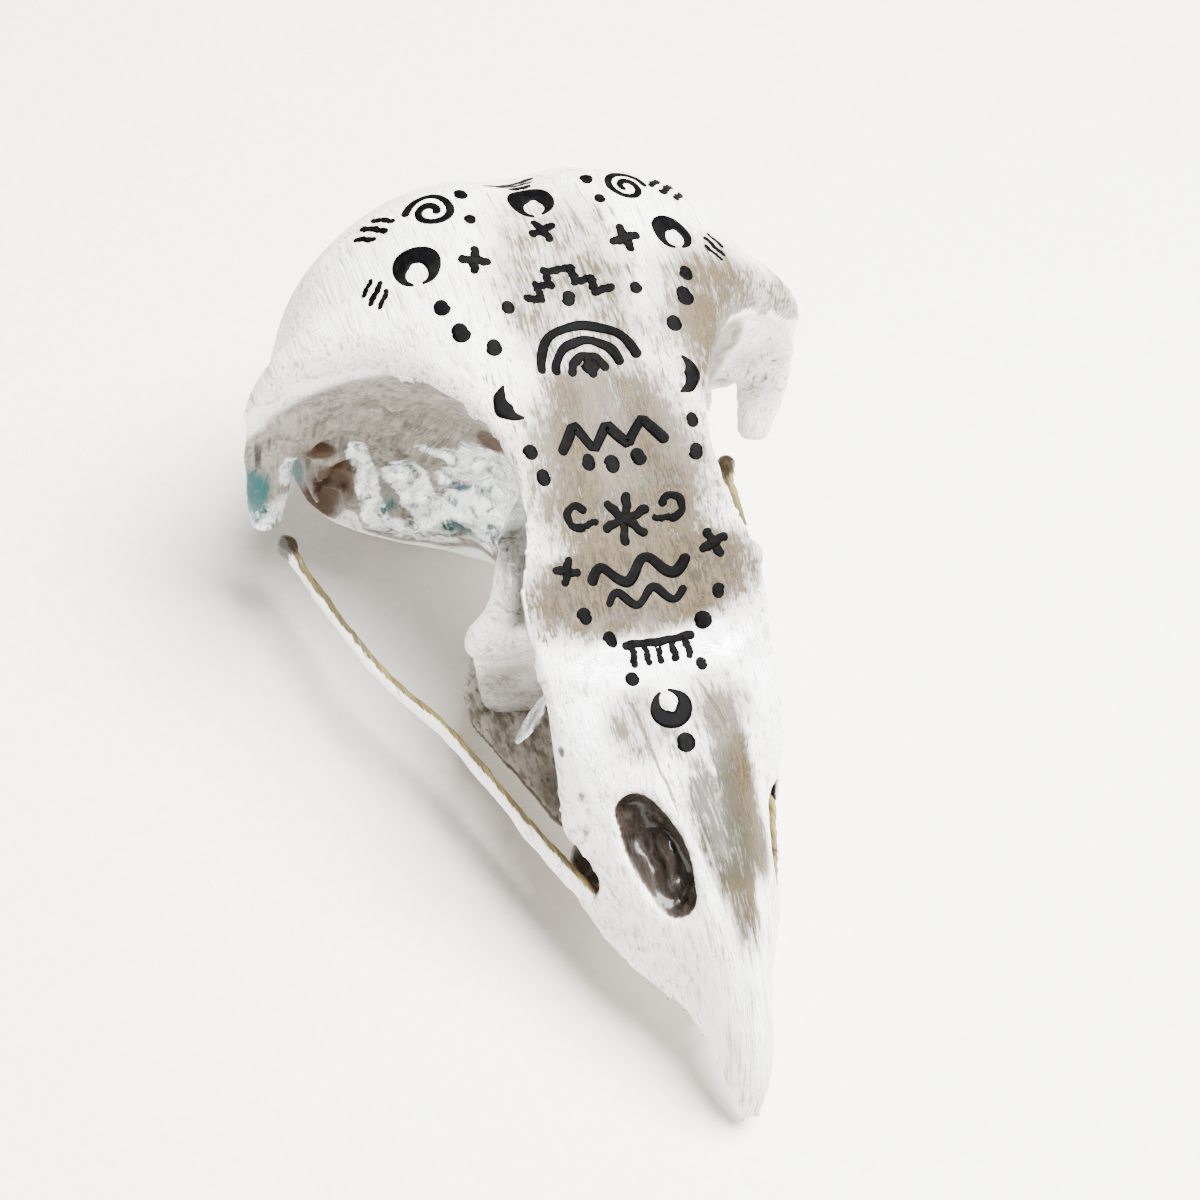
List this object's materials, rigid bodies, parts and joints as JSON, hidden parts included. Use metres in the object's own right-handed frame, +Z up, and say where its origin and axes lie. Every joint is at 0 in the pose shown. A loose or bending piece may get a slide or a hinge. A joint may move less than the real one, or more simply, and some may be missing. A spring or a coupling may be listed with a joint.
{
  "type": "owl skull",
  "caption": "Skull of a barn owl without its lower jaw: hooked beak, long nostrils, wide eye sockets, thin cheek bars and a furrowed crown with pearl paint and ink marks.",
  "frame": {"origin": "on the surface the skull rests on, below the middle of its length and width", "axes": "+Z up, the beak points along -Y, +X is towards the bird's left side"},
  "size_m": [0.0406, 0.0664, 0.0332],
  "materials": {
    "painted_bone": "thin off-white paint brushed over bone, satin, with beige showing through",
    "pearl_bone": "pearl white paint over bone, long brush streaks",
    "silvered_bone": "silver and teal pearl paint over grey-brown bone",
    "bare_bone": "bare beige-brown bone with dark edges",
    "black_ink": "dried black ink drawn by hand"
  },
  "bodies": {
    "root": {"upper_beak": "pearl_bone", "forehead": "painted_bone", "braincase": "painted_bone", "orbital_septum": "silvered_bone", "ectethmoid_left": "silvered_bone", "ectethmoid_right": "silvered_bone", "palatine_left": "bare_bone", "palatine_right": "bare_bone", "jugal_bar_left": "pearl_bone", "jugal_bar_right": "pearl_bone", "postorbital_process_left": "silvered_bone", "postorbital_process_right": "silvered_bone"}
  },
  "joints": []
}
